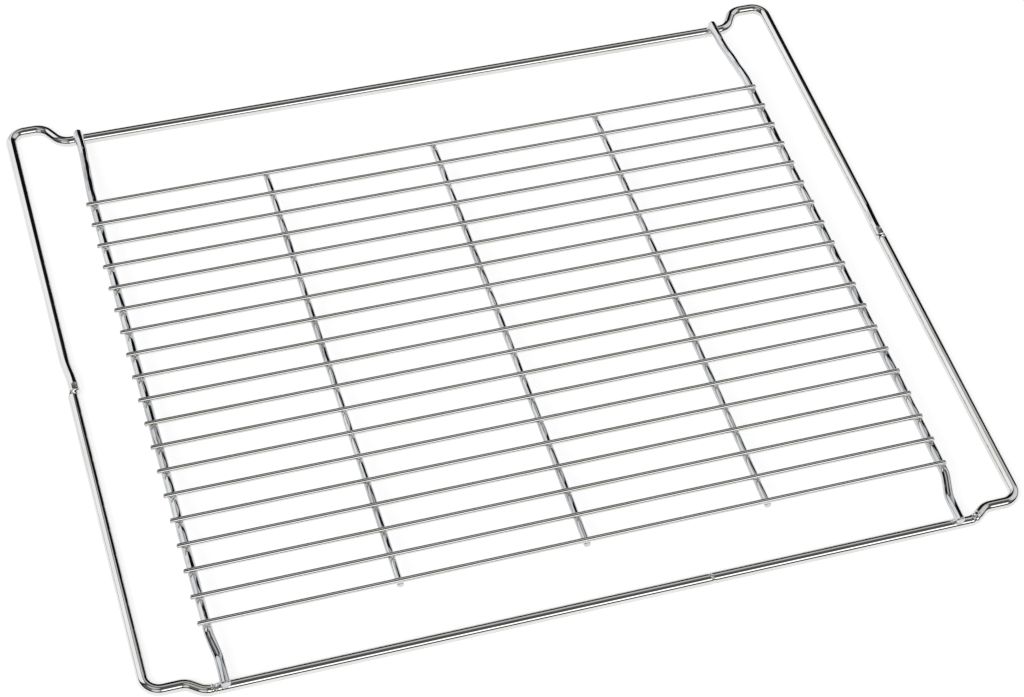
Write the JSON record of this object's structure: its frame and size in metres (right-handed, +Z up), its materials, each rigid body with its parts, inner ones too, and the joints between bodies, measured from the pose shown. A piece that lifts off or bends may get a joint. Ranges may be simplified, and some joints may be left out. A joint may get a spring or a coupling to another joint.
{
  "type": "oven shelf rack",
  "caption": "Flat wire shelf for an oven: a bent frame wire with side rails that slide in the oven's guides carries a raised grid of thin welded cross wires.",
  "frame": {"origin": "middle of the rack's outline, on the surface that the frame wire rests on", "axes": "+X across the rack to the right rail, +Y from the front bar to the back bar, +Z up to the grid"},
  "size_m": [0.455, 0.389, 0.0171],
  "materials": {
    "plated_wire": "bright plated"
  },
  "bodies": {
    "root": {"frame_loop": "plated_wire", "left_stringer": "plated_wire", "right_stringer": "plated_wire", "left_middle_stringer": "plated_wire", "centre_stringer": "plated_wire", "right_middle_stringer": "plated_wire", "cross_wire_01": "plated_wire", "cross_wire_02": "plated_wire", "cross_wire_03": "plated_wire", "cross_wire_04": "plated_wire", "cross_wire_05": "plated_wire", "cross_wire_06": "plated_wire", "cross_wire_07": "plated_wire", "cross_wire_08": "plated_wire", "cross_wire_09": "plated_wire", "cross_wire_10": "plated_wire", "cross_wire_11": "plated_wire", "cross_wire_12": "plated_wire", "cross_wire_13": "plated_wire", "cross_wire_14": "plated_wire", "cross_wire_15": "plated_wire", "cross_wire_16": "plated_wire", "cross_wire_17": "plated_wire", "cross_wire_18": "plated_wire", "cross_wire_19": "plated_wire"}
  },
  "joints": []
}
